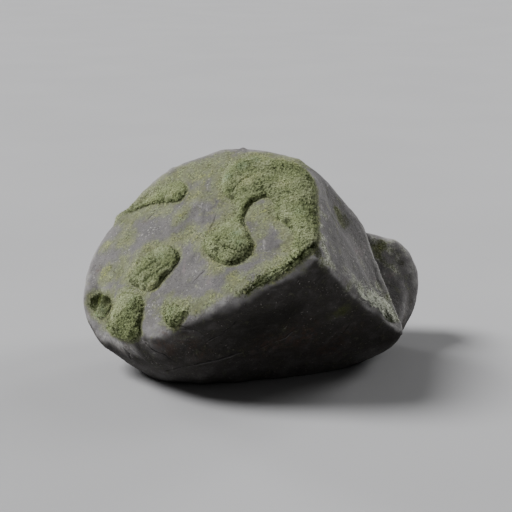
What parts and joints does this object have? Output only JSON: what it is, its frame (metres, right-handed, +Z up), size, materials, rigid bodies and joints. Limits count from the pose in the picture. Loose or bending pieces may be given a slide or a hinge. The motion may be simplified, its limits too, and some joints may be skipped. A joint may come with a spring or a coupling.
{
  "type": "mossy rock",
  "caption": "weathered grey boulder with a broad sloping top face, an overhanging dark front and a side crest, resting on a flat base, with raised cushions of green moss",
  "frame": {"origin": "on the ground, under the middle of the object's box", "axes": "+Z is up, +X is to the right as the broad top face and the dark front are looked at, and +Y goes from the front to the back"},
  "size_m": [0.6106, 0.4632, 0.3774],
  "materials": {
    "stone": "rough weathered grey stone with pale mineral grains, hairline cracks and a thin green film of algae",
    "moss": "short dense cushion moss, matt, dark between the shoots and pale yellow green at their tips"
  },
  "bodies": {
    "root": {"rock": "stone", "crown_moss": "moss", "left_middle_moss": "moss", "left_lower_moss": "moss", "small_moss": "moss", "dimple_moss": "moss", "upper_left_moss": "moss", "tip_moss": "moss", "back_crown_moss": "moss", "back_left_moss": "moss", "back_right_moss": "moss"}
  },
  "joints": []
}
